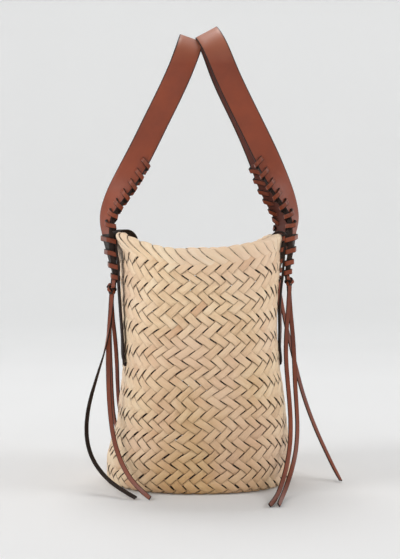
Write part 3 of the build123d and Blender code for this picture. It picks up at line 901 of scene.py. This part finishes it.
def band_place(side, height):
    """Distance of the middle of the loop's outside run from the middle of the bag."""
    lip = (FLARE_LEFT if side < 0 else BAND_RIGHT) * smoothstep((height - 250.0) / 24.0)
    return (wall_reach(height) + sway(side, height) + lip
            + np.interp(height, STAND_HEIGHTS, STAND_OFF[side]))


def lashing(handle, heights, side):
    """Separate turns of lace round the strap end and into the loop, higher on the outside."""
    turns = []
    for height in heights:
        origin, width, normal = handle.across(height - HINGE_Z)
        wide, thick = read(handle.end, height, 2, 3)
        front, back = (origin + width * w * (wide / 2 - 1.0) for w in (1, -1))
        outer, inner = normal * STRAP_THICK / 2, normal * (STRAP_THICK / 2 - thick)
        band = np.array((band_place(side, height) + 1.4, -LEG_Y, 0.0))
        corners = [front + outer, back + outer, back + inner, band + LOOP_SIDE * 2.5,
                   band - LOOP_SIDE * 2.5, front + inner]
        points, normals = hull_loop(convex([corner[:2] for corner in corners]), 1.35)
        tilt = 2.4 * (points[:, 0] - origin[0]) / 8.0 + rng.uniform(-0.5, 0.5)
        points = np.column_stack((points, height + tilt))
        normals = np.column_stack((normals, 0 * tilt))
        turns.append(ribbon(points, normals, LACE_RING * np.array((1.08, 1.15)), True))
    return turns


def convex(points):
    """Corners of the hull of some points, anticlockwise."""
    points = sorted(tuple(float(v) for v in point) for point in points)
    halves = []
    for run in (points, points[::-1]):
        half = []
        for point in run:
            while len(half) > 1 and cross(half[-2], half[-1], point) <= 0:
                half.pop()
            half.append(point)
        halves += half[:-1]
    return halves


def cross(a, b, c):
    """Positive where a, b, c turn to the left."""
    return (b[0] - a[0]) * (c[1] - a[1]) - (b[1] - a[1]) * (c[0] - a[0])


KNOT_SIZE = 1.28
KNOT_DEPTH = 1.89
KNOT_STRETCH = np.array((0.95, 1.35, 1.05))
KNOT_RING = LACE_RING * np.array((0.82, 1.15))
RUN_APART = 2.4  # the two laces that run up from a knot lie this far off its middle
RUN_FACE = (0.45, -0.89, 0.0)


def knot_turns(centre, top):
    """Knot of lace, with the two laces that run up to it from the lashing."""
    x, y, z = centre
    turn = np.linspace(0, 2 * math.pi, 61)[:-1]
    points = np.stack((
        KNOT_SIZE * (np.sin(turn) + 2 * np.sin(2 * turn)),
        -KNOT_DEPTH * np.sin(3 * turn),
        KNOT_SIZE * (np.cos(turn) - 2 * np.cos(2 * turn)),
    ), -1) * KNOT_STRETCH
    pieces = [(ribbon(points + np.array((x, -y, z)), points, KNOT_RING, True), True)]
    for shift in (-RUN_APART, RUN_APART):
        route = smooth_through((
            (x - 1.2, -y + shift * 0.4, z + 1.0),
            (x - 1.8, -y + shift, z + 4.0),
            (x - 2.2, -LEG_Y + shift * 1.2, (z + top) / 2 + 1.0),
            (x - 2.6, -LEG_Y + shift, top - 1.0),
        ), 5)
        pieces.append((ribbon(route, np.tile(RUN_FACE, (len(route), 1)), LACE_RING), False))
    return pieces


# arches of the anchor loops over the rim: middle, height, radius, and how far the band turns
ARCHES = {
    (-1, -1): (88.4, 271.8, 11.4, 27.0), (-1, 1): (88.8, 271.0, 9.8, 8.0),
    (1, -1): (85.9, 273.6, 8.2, 3.0), (1, 1): (88.6, 273.8, 5.2, 0.0),
}
LOOP_LOW_TURN = {-1: 0.5, 1: 10.0}  # degrees the band is turned, below the rim
# heights of the run outside, and for the run inside its distance in from the wall, and height
LOOP_OUTSIDE = (137.0, 160.0, 190.0, 215.0, 232.0, 246.0, 259.0)
LOOP_INSIDE = ((12.5, 255.0), (9.0, 235.0), (7.0, 200.0), (6.6, 165.0), (5.6, 141.0), (1.7, 136.2))
LOOP_RING, LOOP_LOOK = flat_section(18.0, 2.4, 0.8, 4)


def anchor_loop(side, end):
    """Closed band over the rim, down the wall and back through it, its width kept level."""
    middle, crest, radius, extra = ARCHES[side, end]
    rows = [(band_place(side, z), z) for z in LOOP_OUTSIDE]
    rows += [(middle + radius * math.cos(a), crest + radius * math.sin(a))
             for a in (math.radians(turn) for turn in range(0, 181, 30))]
    rows += [(wall_reach(z) + sway(side, z) - inside, z) for inside, z in LOOP_INSIDE]
    rows = [(x, z, LOOP_LOW_TURN[side] + extra * smoothstep((z - 256.0) / 16.0)) for x, z in rows]
    rows = smooth_through(rows, 5, True)
    x, z, turn = rows.T
    turn, level = np.radians(turn), 0 * turn
    wall = wall_reach(200.0)
    points = np.stack((wall + LOOP_OUT[0] * (x - wall), LOOP_OUT[1] * (x - wall) - LEG_Y, z), -1)
    step = np.roll(rows, -1, 0) - np.roll(rows, 1, 0)
    outward = np.stack((np.cos(turn), -np.sin(turn), level), -1)
    normals = unit(outward * step[:, 1:2] - np.array((0, 0, 1.0)) * step[:, :1])
    sides = np.stack((np.sin(turn), np.cos(turn), level), -1)
    wide = 0.82 + 0.18 * smoothstep((z - 236.0) / 24.0)
    return (points[:, None] + sides[:, None] * LOOP_RING[None, :, :1] * wide[:, None, None]
            + normals[:, None] * LOOP_RING[None, :, 1:])


def build_strap(side, handle):
    """Strap of a handle with its two dark lower ends and the linings of its laced stretches."""
    strap = Piece()
    half, edges, paint = strap_sections(handle)
    for end in (-1, 1):
        strap.sweep_leg(half[:DARK_ROWS + 1], side, end, paint=[1] * len(paint),
                        edge=edges[:DARK_ROWS + 1])
    half, edges = half[DARK_ROWS:], edges[DARK_ROWS:]
    back = (half * np.array((1.0, -1.0, 1.0)))[::-1][1:]
    strap.sweep_leg(np.concatenate((half, back)), side, -1, hangs=True, paint=paint,
                    edge=np.concatenate((edges, edges[::-1][1:])))
    lining, edges, paint = lining_sections(handle)
    for end in (-1, 1):
        strap.sweep_leg(lining, side, end, hangs=True, paint=paint, edge=edges)
    made = strap.build("handle_strap_" + SIDES[side], [STRAP, DARK, SHADED_REVERSE], STRAP_SHARP)
    nodes = ["strap_" + SIDES[side]]
    nodes += [kind + "_" + SIDES[side] + "_" + ENDS[end]
              for kind in ("lining", "strap_end") for end in (-1, 1)]
    settle(made, nodes, side)


def build_leg(side, end, handle, wrap_heights, knot_centre):
    """Stitches, lashing, knot and anchor loop of one leg."""
    tag = "_" + SIDES[side] + "_" + ENDS[end]
    lacing, wraps, knot, band = Piece(), Piece(), Piece(), Piece()
    lacing.sweep_leg(whip_lacing(handle), side, end, hangs=True, **LACE_LOOK)
    settle(lacing.build("lacing" + tag, LACE_SKINS), ["whip_stitches" + tag], side)
    for turn in lashing(handle, wrap_heights, side):
        wraps.sweep_leg(turn, side, end, closed=True, **LACE_LOOK)
    settle(wraps.build("lashing_turns" + tag, LACE_SKINS), ["lashing" + tag])
    for part, closed in knot_turns(knot_centre, wrap_heights[-1]):
        knot.sweep_leg(part, side, end, closed=closed, **LACE_LOOK)
    settle(knot.build("lace_knot" + tag, LACE_SKINS), ["knot" + tag])
    band.sweep_leg(anchor_loop(side, end), side, end, closed=True, edge=LOOP_LOOK["edge"])
    settle(band.build("loop_band" + tag, [DARK]), ["anchor_loop" + tag])


for side, (lean, arch, lower_end, wrap_heights, knot_centre) in HANDLES.items():
    handle = Handle(lean, arch, lower_end)
    build_strap(side, handle)
    for end in (-1, 1):
        build_leg(side, end, handle, wrap_heights, knot_centre)

# ---- hanging laces ----

HANG_WIDE = 5.0
HANG_RING, HANG_LOOK = flat_section(HANG_WIDE, 1.7, 0.4)
NARROWS, NARROWS_OVER = 0.12, 0.010  # a lace narrows by this share over its last metres

# routes in metres, from the knot to the floor; then the turn of the lace's face about the
# route, from its start to its end, in degrees from facing away from the bag
LACES = {
    "lace_left_front_outer": ((
        (-0.1006, -0.0455, 0.213), (-0.1022, -0.048, 0.187), (-0.107, -0.049, 0.1555),
        (-0.1175, -0.0505, 0.1225), (-0.127, -0.0535, 0.09), (-0.1295, -0.058, 0.062),
        (-0.125, -0.067, 0.04), (-0.113, -0.082, 0.0225), (-0.096, -0.101, 0.01),
        (-0.077, -0.12, 0.0026),
    ), (-75, 0, 45, 60, 75)),
    "lace_left_front_inner": ((
        (-0.1006, -0.04, 0.213), (-0.1032, -0.0426, 0.183), (-0.105, -0.0445, 0.149),
        (-0.1048, -0.049, 0.115), (-0.103, -0.057, 0.082), (-0.099, -0.0685, 0.054),
        (-0.0905, -0.085, 0.031), (-0.0775, -0.104, 0.0125), (-0.062, -0.123, 0.0026),
    ), (-85, -80, -75, -75, -60)),
    "lace_left_back_outer": ((
        (-0.1006, 0.0455, 0.213), (-0.0995, 0.049, 0.186), (-0.096, 0.053, 0.158),
        (-0.0938, 0.059, 0.129), (-0.093, 0.066, 0.1), (-0.091, 0.076, 0.072),
        (-0.0845, 0.0895, 0.047), (-0.0725, 0.105, 0.025), (-0.057, 0.118, 0.009),
        (-0.039, 0.127, 0.0026),
    ), (-60, -65, -50, -60, -40)),
    "lace_left_back_inner": ((
        (-0.1006, 0.04, 0.213), (-0.1026, 0.0426, 0.182), (-0.1022, 0.045, 0.149),
        (-0.101, 0.0505, 0.117), (-0.0998, 0.06, 0.086), (-0.097, 0.074, 0.058),
        (-0.09, 0.091, 0.035), (-0.08, 0.109, 0.015), (-0.069, 0.127, 0.0026),
    ), (-40, -55, -60, -40, -30)),
    "lace_right_front_inner": ((
        (0.0962, -0.0452, 0.222), (0.0942, -0.051, 0.198), (0.091, -0.0556, 0.1715),
        (0.0902, -0.0576, 0.1445), (0.0922, -0.0582, 0.118), (0.0944, -0.0602, 0.092),
        (0.0949, -0.0652, 0.0675), (0.0926, -0.0742, 0.0465), (0.0872, -0.0882, 0.0292),
        (0.08, -0.1066, 0.0152), (0.0722, -0.1276, 0.0062), (0.0646, -0.149, 0.0028),
        (0.0575, -0.1698, 0.0026),
    ), (75, 70, 80, 70, 50)),
    "lace_right_front_outer": ((
        (0.0962, -0.04, 0.222), (0.0972, -0.0423, 0.197), (0.1002, -0.0428, 0.169),
        (0.1018, -0.0438, 0.141), (0.1024, -0.046, 0.114), (0.1036, -0.05, 0.0885),
        (0.1038, -0.0565, 0.064), (0.1006, -0.067, 0.0425), (0.0943, -0.0815, 0.0255),
        (0.0864, -0.1005, 0.013), (0.0788, -0.122, 0.0052), (0.0723, -0.145, 0.0028),
        (0.067, -0.168, 0.0026),
    ), (80, 85, 65, 75, 45)),
    "lace_right_back_outer": ((
        (0.0962, 0.0452, 0.222), (0.1004, 0.0466, 0.199), (0.105, 0.044, 0.174),
        (0.1108, 0.0395, 0.148), (0.1162, 0.0335, 0.1215), (0.1218, 0.025, 0.096),
        (0.1288, 0.014, 0.0715), (0.1368, 0.0015, 0.0485), (0.145, -0.012, 0.028),
        (0.1515, -0.025, 0.012), (0.1555, -0.0385, 0.0026),
    ), (55, 60, 65, 60, 50)),
    "lace_right_back_inner": ((
        (0.0962, 0.04, 0.222), (0.0974, 0.0424, 0.195), (0.0984, 0.044, 0.166),
        (0.0978, 0.0485, 0.1375), (0.0972, 0.055, 0.1095), (0.0968, 0.0645, 0.082),
        (0.0945, 0.0775, 0.0565), (0.089, 0.0925, 0.0355), (0.0815, 0.109, 0.017),
        (0.0735, 0.1255, 0.005), (0.0665, 0.1415, 0.0026),
    ), (60, 50, 40, 30, 30)),
}


def lace_line(name, points):
    """The lace's smooth line, read from a spline with the route as its control points."""
    curve = bpy.data.curves.new(name + "_line", "CURVE")
    curve.dimensions = "3D"
    curve.resolution_u = 10
    spline = curve.splines.new("NURBS")
    spline.points.add(len(points) - 1)
    for point, place in zip(spline.points, points):
        point.co = (*place, 1.0)
    spline.order_u = 3
    spline.use_endpoint_u = True
    holder = put(name + "_line", curve)
    bpy.context.view_layer.update()
    mesh = bpy.data.meshes.new_from_object(holder)
    line = np.array([vertex.co for vertex in mesh.vertices])
    bpy.data.objects.remove(holder)
    bpy.data.meshes.remove(mesh)
    bpy.data.curves.remove(curve)
    return line


def hanging_lace(name, points, turns):
    """Flat lace along its line, its face turning slowly, a little narrower at its plain cut end."""
    line = lace_line(name, points)
    places = along_line(line)
    run = unit(np.gradient(line, axis=0))
    away = np.array((math.copysign(1.0, points[0][0]), 0.0, 0.0))
    normal = unit(away - run[0] * np.dot(away, run[0]))
    normals = []
    for step in run:
        normal = unit(normal - step * np.dot(normal, step))
        normals.append(normal)
    normals = np.array(normals)
    smooth = smooth_through(np.array(turns, float)[:, None], 12)[:, 0]
    angle = np.interp(places, np.linspace(0.0, places[-1], len(smooth)), smooth)
    angle = np.radians(angle)[:, None]
    turned = normals * np.cos(angle) + np.cross(run, normals) * np.sin(angle)
    sections = ribbon(line / MM, turned, HANG_RING)
    taper = 1 - NARROWS * smoothstep((places - places[-1] + NARROWS_OVER) / NARROWS_OVER)
    middle = (line / MM)[:, None]
    sections = middle + (sections - middle) * taper[:, None, None]
    piece = Piece()
    piece.sweep(sections, **HANG_LOOK)
    made = piece.build("hanging_" + name, LACE_SKINS)
    settle(made, [name])


for name, (points, turns) in LACES.items():
    hanging_lace(name, points, turns)

# ---- studio ----

BOWL_FLAT, BOWL_CURVE = 2.8, 1.2  # metres of level floor, and radius of the curve behind it
BOWL_COUNT = 96


def studio_bowl():
    """Seamless light grey floor that curves up into the backdrop all round; it glows less towards
    the bag, which paints shade round the bag's foot.
    """
    profile = [(r, 0.0) for r in (0.25, 0.6, 1.0, 1.6, 2.2, BOWL_FLAT)]
    profile += [(BOWL_FLAT + BOWL_CURVE * math.sin(math.radians(a)),
                 BOWL_CURVE - BOWL_CURVE * math.cos(math.radians(a))) for a in range(9, 91, 9)]
    profile += [(BOWL_FLAT + BOWL_CURVE, z) for z in (2.0, 3.0, 4.0)]
    turn = np.linspace(0, 2 * math.pi, BOWL_COUNT, endpoint=False)
    points = [(0.0, 0.0, 0.0)]
    for r, z in profile:
        points += [(r * math.cos(a), r * math.sin(a), z) for a in turn]
    faces = [(0, 1 + j, 1 + (j + 1) % BOWL_COUNT) for j in range(BOWL_COUNT)]
    for i in range(len(profile) - 1):
        low, high = 1 + i * BOWL_COUNT, 1 + (i + 1) * BOWL_COUNT
        for j in range(BOWL_COUNT):
            k = (j + 1) % BOWL_COUNT
            faces.append((low + j, high + j, high + k, low + k))
    mesh = bpy.data.meshes.new("studio_bowl")
    mesh.from_pydata(points, [], faces)
    mesh.polygons.foreach_set("use_smooth", [True] * len(mesh.polygons))
    rise = mesh.attributes.new("rise", "FLOAT", "POINT")
    rise.data.foreach_set("value", [min(math.hypot(x, y) / 3.0, 1.0) for x, y, z in points])
    n = Nodes("studio_grey")
    soft = n.noise(n.add("TexCoord").outputs["Object"], 2.0, 1.0, 0.4)
    colour = n.mix(soft, linear(224, 224, 224), linear(228, 228, 228))
    # painted shade: the glow is weakest at the bag and grows outwards, so the floor darkens round
    # the bag's foot
    glow = n.span(n.attribute("rise"), 0.06, 0.85, 0.02, 0.345)
    mesh.materials.append(n.finish(colour, 0.9, Specular_IOR_Level=0.1, Emission_Strength=glow,
                                   Emission_Color=linear(227, 228, 228)))
    put("studio_bowl", mesh)


def aim(thing, target):
    """Turns a light to face a point."""
    offset = np.array(target) - np.array(thing.location)
    flat = math.hypot(offset[0], offset[1])
    thing.rotation_euler = (math.pi / 2 + math.atan2(offset[2], flat), 0.0,
                            math.atan2(-offset[0], offset[1]))


studio_bowl()
# place in metres, height of the point on the axis it is aimed at, side in metres, watts
for name, place, aimed_at, side_length, watts in (
        ("key", (-2.1, -0.8, 1.8), 0.25, 1.0, 22.0),
        ("fill", (2.1, -0.7, 1.5), 0.25, 1.0, 15.5),
        ("front", (-0.8, -2.5, 1.4), 0.3, 1.2, 5.0),
        ("top", (-0.1, 0.8, 2.4), 0.2, 0.8, 25.0)):
    light = bpy.data.lights.new(name, "AREA")
    light.shape = "SQUARE"
    light.size = side_length
    light.energy = watts
    lamp = put(name, light)
    lamp.location = place
    aim(lamp, (0.0, 0.0, aimed_at))
    lamp.visible_camera = False

world = bpy.data.worlds.new("studio")
world.use_nodes = True
background = world.node_tree.nodes["Background"].inputs
background[0].default_value = (0.82, 0.82, 0.81, 1.0)
background[1].default_value = 0.1
bpy.context.scene.world = world
bpy.context.scene.view_settings.view_transform = "Standard"

CAMERA_PLACE = (-0.1149, -1.4502, 0.266)
CAMERA_DOWN = 1.5  # degrees
CAMERA_TURN = -math.atan2(0.079, 0.997)
camera_data = bpy.data.cameras.new("camera")
camera_data.lens = 82.2
camera_data.sensor_width = 36.0
camera = put("camera", camera_data)
camera.location = CAMERA_PLACE
camera.rotation_euler = (math.radians(90.0 - CAMERA_DOWN), 0.0, CAMERA_TURN)
bpy.context.scene.camera = camera
